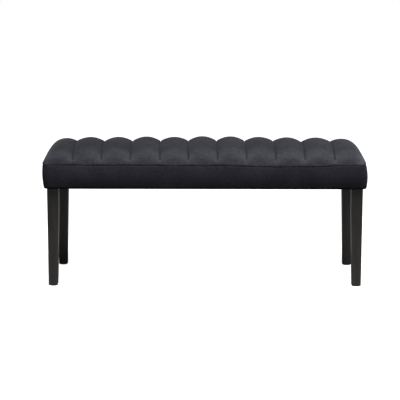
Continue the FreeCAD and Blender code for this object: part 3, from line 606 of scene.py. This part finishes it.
def dust_sag(x, y):
    """How far the dust cloth hangs below its edge, bay by bay between the rails."""
    inner_x, inner_y = dust_high.x - DUST_FLAT[0], dust_high.y - DUST_FLAT[1]
    if abs(x) >= inner_x or abs(y) >= inner_y:
        return 0.0
    rail = (cross_low.x + cross_high.x) / 2
    share = (x + rail) / (2 * rail) if abs(x) < rail else (abs(x) - rail) / (inner_x - rail)
    return DUST_SAG * math.sin(math.pi * share) * math.cos(math.pi / 2 * y / inner_y)


def dust_cloth(material):
    """The black cloth stapled under the frame, a little slack between the rails."""
    builder = bmesh.new()
    bmesh.ops.create_grid(builder, x_segments=DUST_GRID[0], y_segments=DUST_GRID[1], size=1)
    for vertex in builder.verts:
        x, y = vertex.co.x * dust_high.x, vertex.co.y * dust_high.y
        vertex.co = Vector((x, y, dust_low.z - dust_sag(x, y)))
    for vertex in thickened(builder):
        vertex.co.z += DUST_THICKNESS
    bmesh.ops.recalc_face_normals(builder, faces=builder.faces)
    piece = new_piece("dust_cloth", builder, material)
    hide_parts("dust_cover")


def staples(material):
    """Staples that hold the dust cloth's edge to the rails."""
    line_x, line_y = dust_high.x - STAPLE_INSET, dust_high.y - STAPLE_INSET
    height = dust_low.z - STAPLE_SIZE[2] / 2 + STAPLE_BITE
    along_x = [line_x * (2 * (n + 0.5) / STAPLES_LONG - 1) for n in range(STAPLES_LONG)]
    along_y = [line_y * (2 * (n + 0.5) / STAPLES_SHORT - 1) for n in range(STAPLES_SHORT)]
    places = []
    for x in along_x:
        turn = STAPLE_SKEW * math.sin(LONG_SKEW_WAVE * x)
        places += [(x, -line_y, turn), (x, line_y, turn)]
    for y in along_y:
        turn = math.pi / 2 + STAPLE_SKEW * math.sin(SHORT_SKEW_WAVE * y)
        places += [(-line_x, y, turn), (line_x, y, turn)]
    builder = bmesh.new()
    for x, y, turn in places:
        if abs(abs(x) - LEG_CENTRE[0]) < LEG_ROOM[0] and abs(abs(y) - LEG_CENTRE[1]) < LEG_ROOM[1]:
            continue
        at = Matrix.Translation((x, y, height)) @ Matrix.Rotation(turn, 4, "Z")
        bmesh.ops.create_cube(builder, size=1, matrix=at @ Matrix.Diagonal((*STAPLE_SIZE, 1)))
    bmesh.ops.bevel(
        builder, geom=builder.edges[:], offset=STAPLE_EDGE, offset_type="OFFSET", segments=2, profile=0.5,
        affect="EDGES", material=-1,
    )
    new_piece("cloth_staples", builder, material)


def channel_stitches(material, seat):
    """The thread that holds the channels, one row of stitches in each sewn line."""
    bpy.context.view_layer.update()
    surface = BVHTree.FromObject(seat, bpy.context.evaluated_depsgraph_get())
    stitch = bmesh.new()
    bmesh.ops.create_uvsphere(stitch, u_segments=6, v_segments=5, radius=1)
    pattern = bpy.data.meshes.new("stitch_pattern")
    stitch.to_mesh(pattern)
    stitch.free()
    builder = bmesh.new()
    count = int(2 * HALF_DEPTH / STITCH_PITCH)
    down = Vector((0, 0, -1))
    ends = [Vector((0, ahead, 0)) for ahead in (-STITCH / 2, STITCH / 2)]
    for line in CHANNEL_EDGES[1:-1]:
        for step in range(count):
            y = HALF_DEPTH * (2 * (step + 0.5) / count - 1)
            above = Vector((line + line_shift(line, y / HALF_DEPTH) + COVER_DRIFT, y, SEAM_Z + 2 * CROWN))
            hits = [surface.ray_cast(above + end, down) for end in ends]
            if any(place is None or place.z < SEAM_Z + STITCH_STOP for place, *_ in hits):
                continue
            near, far = hits[0][0], hits[1][0]
            lean = (far - near).to_track_quat("Y", "Z").to_matrix().to_4x4()
            at = Matrix.Translation((near + far) / 2 + hits[0][1] * THREAD * THREAD_RISE) @ lean
            size = Matrix.Diagonal((THREAD, (far - near).length / 2, THREAD, 1))
            placed = pattern.copy()
            placed.transform(at @ size)
            builder.from_mesh(placed)
            bpy.data.meshes.remove(placed)
    bpy.data.meshes.remove(pattern)
    new_piece("channel_stitches", builder, material)


# Materials


def new_material(name):
    """A material with its own shader, ready for nodes."""
    material = bpy.data.materials.new(name)
    material.use_nodes = True
    return material, material.node_tree, material.node_tree.nodes["Principled BSDF"]


def add_node(tree, kind, **values):
    """A node with its inputs or properties set."""
    node = tree.nodes.new(kind)
    for key, value in values.items():
        if key in node.inputs:
            node.inputs[key].default_value = value
        else:
            setattr(node, key, value)
    return node


def new_group(name, inputs, outputs):
    """An empty shader node group with named sockets, and its two end nodes."""
    group = bpy.data.node_groups.new(name, "ShaderNodeTree")
    for socket, kind, value in inputs:
        made = group.interface.new_socket(socket, in_out="INPUT", socket_type=kind)
        if value is not None:
            made.default_value = value
    for socket, kind in outputs:
        group.interface.new_socket(socket, in_out="OUTPUT", socket_type=kind)
    return group, group.nodes.new("NodeGroupInput"), group.nodes.new("NodeGroupOutput")


def mottle_group():
    """Cloudy variation: a slow layer and a fine layer, mixed."""
    group, given, result = new_group(
        "cloth_mottle",
        (
            ("Vector", "NodeSocketVector", None),
            ("Slow Scale", "NodeSocketFloat", 6.0),
            ("Fine Scale", "NodeSocketFloat", 60.0),
            ("Fine Share", "NodeSocketFloat", 0.35),
        ),
        (("Tone", "NodeSocketFloat"), ("Grain", "NodeSocketFloat")),
    )
    slow = add_node(group, "ShaderNodeTexNoise", Detail=3.0, Roughness=0.55, Distortion=0.4)
    fine = add_node(group, "ShaderNodeTexNoise", Detail=6.0, Roughness=0.6)
    mix = add_node(group, "ShaderNodeMix", data_type="FLOAT")
    group.links.new(given.outputs["Vector"], slow.inputs["Vector"])
    group.links.new(given.outputs["Slow Scale"], slow.inputs["Scale"])
    group.links.new(given.outputs["Vector"], fine.inputs["Vector"])
    group.links.new(given.outputs["Fine Scale"], fine.inputs["Scale"])
    group.links.new(given.outputs["Fine Share"], mix.inputs["Factor"])
    group.links.new(slow.outputs["Fac"], mix.inputs["A"])
    group.links.new(fine.outputs["Fac"], mix.inputs["B"])
    group.links.new(mix.outputs["Result"], result.inputs["Tone"])
    group.links.new(fine.outputs["Fac"], result.inputs["Grain"])
    return group


def grain_group():
    """Wood grain along Z: broad figure, and fine pores."""
    group, given, result = new_group(
        "wood_grain",
        (
            ("Vector", "NodeSocketVector", None),
            ("Figure Scale", "NodeSocketFloat", 1.0),
            ("Pore Scale", "NodeSocketFloat", 1.0),
        ),
        (("Figure", "NodeSocketFloat"), ("Pores", "NodeSocketFloat")),
    )
    broad = add_node(group, "ShaderNodeMapping", Scale=(38, 38, 2.4))
    figure = add_node(group, "ShaderNodeTexNoise", Detail=7.0, Roughness=0.62, Distortion=0.8)
    thin = add_node(group, "ShaderNodeMapping", Scale=(520, 520, 14))
    pores = add_node(group, "ShaderNodeTexNoise", Detail=3.0, Roughness=0.5)
    group.links.new(given.outputs["Vector"], broad.inputs["Vector"])
    group.links.new(broad.outputs["Vector"], figure.inputs["Vector"])
    group.links.new(given.outputs["Figure Scale"], figure.inputs["Scale"])
    group.links.new(given.outputs["Vector"], thin.inputs["Vector"])
    group.links.new(thin.outputs["Vector"], pores.inputs["Vector"])
    group.links.new(given.outputs["Pore Scale"], pores.inputs["Scale"])
    group.links.new(figure.outputs["Fac"], result.inputs["Figure"])
    group.links.new(pores.outputs["Fac"], result.inputs["Pores"])
    return group


MOTTLE = mottle_group()
GRAIN = grain_group()
# heights over which the legs' painted shadow of the seat fades in towards their tops
TOP_SHADOW_HEIGHTS = (0.12, 0.34)


def object_place(tree):
    """The Object coordinates of a material."""
    return add_node(tree, "ShaderNodeTexCoord").outputs["Object"]


def place_group(tree, group, **values):
    """Put a shared group into a material, on Object coordinates."""
    node = tree.nodes.new("ShaderNodeGroup")
    node.node_tree = group
    for key, value in values.items():
        node.inputs[key.replace("_", " ")].default_value = value
    tree.links.new(object_place(tree), node.inputs["Vector"])
    return node


def ramp_between(tree, source, low, high, dark, light):
    """A colour that runs from dark to light as a value goes from low to high."""
    ramp = add_node(tree, "ShaderNodeValToRGB")
    ramp.color_ramp.elements[0].position = low
    ramp.color_ramp.elements[0].color = (*dark, 1)
    ramp.color_ramp.elements[1].position = high
    ramp.color_ramp.elements[1].color = (*light, 1)
    tree.links.new(source, ramp.inputs["Fac"])
    return ramp.outputs["Color"]


def value_between(tree, source, low, high):
    """A value mapped from 0..1 to a range."""
    mapped = add_node(tree, "ShaderNodeMapRange")
    mapped.inputs["To Min"].default_value = low
    mapped.inputs["To Max"].default_value = high
    tree.links.new(source, mapped.inputs["Value"])
    return mapped.outputs["Result"]


def raised(tree, shader, source, strength, distance):
    """Fine relief from a value."""
    bump = add_node(tree, "ShaderNodeBump", Strength=strength, Distance=distance)
    tree.links.new(source, bump.inputs["Height"])
    tree.links.new(bump.outputs["Normal"], shader.inputs["Normal"])


def shadowed_at_top(tree, figure, top_shadow):
    """Wood figure darkened towards the top of a leg: a painted shadow of the seat."""
    height = add_node(tree, "ShaderNodeSeparateXYZ")
    tree.links.new(object_place(tree), height.inputs["Vector"])
    top_shade = add_node(tree, "ShaderNodeMapRange")
    top_shade.inputs["From Min"].default_value, top_shade.inputs["From Max"].default_value = TOP_SHADOW_HEIGHTS
    top_shade.inputs["To Max"].default_value = top_shadow
    tree.links.new(height.outputs["Z"], top_shade.inputs["Value"])
    darker = add_node(tree, "ShaderNodeMath", operation="SUBTRACT")
    tree.links.new(figure, darker.inputs[0])
    tree.links.new(top_shade.outputs["Result"], darker.inputs[1])
    return darker.outputs["Value"]


def velvet(name, dark, light, gloss):
    """Charcoal velvet: short fibres, brushed unevenly, with a cool sheen at glancing angles; its colour is multiplied
    by the painted shade and light kept at each vertex.
    """
    material, tree, shader = new_material(name)
    mottle = place_group(tree, MOTTLE, Slow_Scale=11.0, Fine_Scale=95.0, Fine_Share=0.6)
    tone = ramp_between(tree, mottle.outputs["Tone"], 0.3, 0.72, dark, light)
    # painted shade and light from each vertex, multiplied into the velvet's colour
    painted_shade = add_node(tree, "ShaderNodeAttribute", attribute_name="painted_shade")
    shade = add_node(tree, "ShaderNodeMix", data_type="RGBA", blend_type="MULTIPLY")
    shade.inputs["Factor"].default_value = 1.0
    tree.links.new(tone, shade.inputs["A"])
    tree.links.new(painted_shade.outputs["Fac"], shade.inputs["B"])
    tree.links.new(shade.outputs["Result"], shader.inputs["Base Color"])
    tree.links.new(value_between(tree, mottle.outputs["Tone"], 0.80, 0.92), shader.inputs["Roughness"])
    raised(tree, shader, mottle.outputs["Grain"], 0.35, 0.0006)
    shader.inputs["Specular IOR Level"].default_value = gloss
    shader.inputs["Sheen Weight"].default_value = 0.05
    shader.inputs["Sheen Roughness"].default_value = 0.45
    shader.inputs["Sheen Tint"].default_value = (0.80, 0.83, 1.0, 1)
    return material


def wood(name, dark, light, roughness, relief, coat=0.0, top_shadow=0.0):
    """Wood with its grain along Z, lacquered, or with a painted shadow darker towards the top if asked."""
    material, tree, shader = new_material(name)
    grain = place_group(tree, GRAIN, Figure_Scale=1.0, Pore_Scale=1.0)
    figure = grain.outputs["Figure"]
    if top_shadow:
        figure = shadowed_at_top(tree, figure, top_shadow)
    tree.links.new(ramp_between(tree, figure, 0.3, 0.7, dark, light), shader.inputs["Base Color"])
    tree.links.new(value_between(tree, grain.outputs["Pores"], *roughness), shader.inputs["Roughness"])
    raised(tree, shader, grain.outputs["Pores"], relief, 0.0003)
    shader.inputs["Coat Weight"].default_value = coat
    shader.inputs["Coat Roughness"].default_value = 0.3
    return material


def plain_cloth(name, dark, light, fine_scale, relief, roughness=0.9):
    """Matt stuff with cloudy colour and a fine relief."""
    material, tree, shader = new_material(name)
    mottle = place_group(tree, MOTTLE, Slow_Scale=9.0, Fine_Scale=fine_scale, Fine_Share=0.5)
    tree.links.new(ramp_between(tree, mottle.outputs["Tone"], 0.3, 0.7, dark, light), shader.inputs["Base Color"])
    raised(tree, shader, mottle.outputs["Grain"], 0.5, relief)
    shader.inputs["Roughness"].default_value = roughness
    return material


def metal(name, dark, light):
    """Zinc-plated steel."""
    material, tree, shader = new_material(name)
    mottle = place_group(tree, MOTTLE, Slow_Scale=40.0, Fine_Scale=900.0, Fine_Share=0.5)
    tree.links.new(ramp_between(tree, mottle.outputs["Tone"], 0.3, 0.7, dark, light), shader.inputs["Base Color"])
    tree.links.new(value_between(tree, mottle.outputs["Tone"], 0.28, 0.5), shader.inputs["Roughness"])
    shader.inputs["Metallic"].default_value = 1.0
    return material


TOP_VELVET = velvet("top_velvet", (0.0074, 0.0073, 0.0101), (0.0306, 0.0318, 0.0392), gloss=0.22)
BAND_VELVET = velvet("band_velvet", (0.0161, 0.0153, 0.0216), (0.0355, 0.0341, 0.0460), gloss=0.06)
# the legs' wood is darkened towards the top: a painted shadow of the seat
LEG_WOOD = wood(
    "espresso_wood", (0.0112, 0.0098, 0.0085), (0.0352, 0.0316, 0.0276), (0.36, 0.52), 0.12, coat=0.15, top_shadow=0.24
)
FRAME_WOOD = wood("sawn_softwood", (0.46, 0.31, 0.17), (0.66, 0.49, 0.30), (0.6, 0.8), 0.4)
DOWEL_WOOD = wood("dowel_hardwood", (0.52, 0.36, 0.21), (0.70, 0.53, 0.34), (0.5, 0.65), 0.3)
PLYWOOD = wood("raw_plywood", (0.45, 0.32, 0.19), (0.63, 0.48, 0.31), (0.6, 0.8), 0.3)
ZINC = metal("zinc_steel", (0.50, 0.50, 0.48), (0.66, 0.66, 0.64))
NYLON = plain_cloth("glide_nylon", (0.010, 0.010, 0.010), (0.020, 0.020, 0.020), 300.0, 0.0001, roughness=0.5)
FOAM = plain_cloth("seat_foam_cells", (0.70, 0.60, 0.38), (0.82, 0.74, 0.54), 420.0, 0.001)
WADDING = plain_cloth("polyester_wadding", (0.80, 0.80, 0.79), (0.92, 0.92, 0.91), 160.0, 0.002)
DUST_CLOTH = plain_cloth("dust_nonwoven", (0.006, 0.006, 0.006), (0.016, 0.016, 0.017), 260.0, 0.0004)
SEWING_THREAD = plain_cloth(
    "charcoal_thread", (0.008, 0.008, 0.010), (0.018, 0.018, 0.022), 900.0, 0.0001, roughness=0.6
)

# Finishes of the frame's nodes that no piece replaces, by the start of their names; the first that fits is taken.
NODE_FINISHES = {
    "leg_": LEG_WOOD,
    "glide_nails": ZINC,
    "glide_": NYLON,
    "corner_block_screws": ZINC,
    "corner_block_": FRAME_WOOD,
    "hanger_bolts": ZINC,
    "tee_nuts": ZINC,
    "deck_screws": ZINC,
    "frame_dowels": DOWEL_WOOD,
    "seat_deck": PLYWOOD,
    "front_rail": FRAME_WOOD,
    "rear_rail": FRAME_WOOD,
    "left_end_rail": FRAME_WOOD,
    "right_end_rail": FRAME_WOOD,
    "cross_rail_": FRAME_WOOD,
}
for name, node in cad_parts.items():
    for start, finish in NODE_FINISHES.items():
        if name.startswith(start):
            node.data.materials.clear()
            node.data.materials.append(finish)
            break

seat = channelled_seat(TOP_VELVET)
side_band(BAND_VELVET)
side_wadding(WADDING)
foam_core(FOAM)
dust_cloth(DUST_CLOTH)
staples(ZINC)
channel_stitches(SEWING_THREAD, seat)


# Studio

WHITE = (1, 1, 1, 1)
FLOOR_SIZE = 30
FLOOR_SHOWN = 0.45  # floor's tone to the camera
FLOOR_GLOW = 0.97  # and the glow that lifts it
FLOOR_BOUNCE = 0.26  # share of the light that the floor gives back
SURROUND_LIGHT = 0.10
LIT_PLACE = (0, 0, 0.4)
OVERHEAD_PLACE = (0.55, -1.0, 3.5)
OVERHEAD_SIZE = (2.2, 1.5)
OVERHEAD_POWER = 240
FILL_PLACE = (2.6, 1.9, 1.0)
FILL_SIZE = (1.2, 1.2)
FILL_POWER = 22
CAMERA_PLACE = (0.0079, -4.763, 1.149)
CAMERA_PITCH = math.radians(10.341)
CAMERA_ROLL = math.radians(-0.06)
CAMERA_YAW = math.radians(0.324)
CAMERA_SENSOR = 36
CAMERA_LENS = 118.6


def shown_or_lit(tree, lit, shown, output):
    """Show one shader to the camera, and let another one light the scene."""
    seen = add_node(tree, "ShaderNodeLightPath")
    mix = add_node(tree, "ShaderNodeMixShader")
    tree.links.new(seen.outputs["Is Camera Ray"], mix.inputs[0])
    tree.links.new(lit.outputs[0], mix.inputs[1])
    tree.links.new(shown.outputs[0], mix.inputs[2])
    tree.links.new(mix.outputs[0], tree.nodes[output].inputs["Surface"])


def studio_floor():
    """A plain pale floor, shown nearly white and giving back a moderate share of the light."""
    builder = bmesh.new()
    bmesh.ops.create_grid(builder, x_segments=1, y_segments=1, size=FLOOR_SIZE)
    mesh = bpy.data.meshes.new("floor")
    builder.to_mesh(mesh)
    builder.free()
    floor = bpy.data.objects.new("floor", mesh)
    bpy.context.scene.collection.objects.link(floor)
    material, tree, shader = new_material("studio_white")
    shader.inputs["Base Color"].default_value = (FLOOR_SHOWN, FLOOR_SHOWN, FLOOR_SHOWN, 1)
    shader.inputs["Roughness"].default_value = 0.9
    shader.inputs["Specular IOR Level"].default_value = 0.0
    shader.inputs["Emission Color"].default_value = WHITE
    shader.inputs["Emission Strength"].default_value = FLOOR_GLOW
    bounce = add_node(tree, "ShaderNodeBsdfDiffuse", Color=(FLOOR_BOUNCE, FLOOR_BOUNCE, FLOOR_BOUNCE, 1))
    shown_or_lit(tree, bounce, shader, "Material Output")
    mesh.materials.append(material)


def area_light(name, place, size, power):
    """A soft rectangular light, turned to the bench."""
    light = bpy.data.lights.new(name, "AREA")
    light.shape = "RECTANGLE"
    light.size, light.size_y = size
    light.energy = power
    lamp = bpy.data.objects.new(name, light)
    bpy.context.scene.collection.objects.link(lamp)
    lamp.visible_camera = False
    lamp.location = place
    lamp.rotation_euler = (Vector(LIT_PLACE) - Vector(place)).to_track_quat("-Z", "Y").to_euler()


def studio_light():
    """A white surround, dimmer as light than it looks, a large light overhead and low fills at the rear corners."""
    world = bpy.data.worlds.new("surround")
    bpy.context.scene.world = world
    world.use_nodes = True
    tree = world.node_tree
    dim = tree.nodes["Background"]
    dim.inputs["Color"].default_value = WHITE
    dim.inputs["Strength"].default_value = SURROUND_LIGHT
    white = add_node(tree, "ShaderNodeBackground", Color=WHITE, Strength=1.0)
    shown_or_lit(tree, dim, white, "World Output")
    area_light("overhead", OVERHEAD_PLACE, OVERHEAD_SIZE, OVERHEAD_POWER)
    for name, side in (("left_fill", -1), ("right_fill", 1)):
        area_light(name, (side * FILL_PLACE[0], *FILL_PLACE[1:]), FILL_SIZE, FILL_POWER)


def photo_camera():
    """The photograph's view: from the front, looking a little down."""
    data = bpy.data.cameras.new("photo_view")
    data.sensor_width = CAMERA_SENSOR
    data.lens = CAMERA_LENS
    camera = bpy.data.objects.new("photo_view", data)
    bpy.context.scene.collection.objects.link(camera)
    camera.location = CAMERA_PLACE
    camera.rotation_euler = (math.pi / 2 - CAMERA_PITCH, CAMERA_ROLL, CAMERA_YAW)
    bpy.context.scene.camera = camera


studio_floor()
studio_light()
photo_camera()
bpy.context.scene.view_settings.view_transform = "Standard"

bpy.context.view_layer.update()
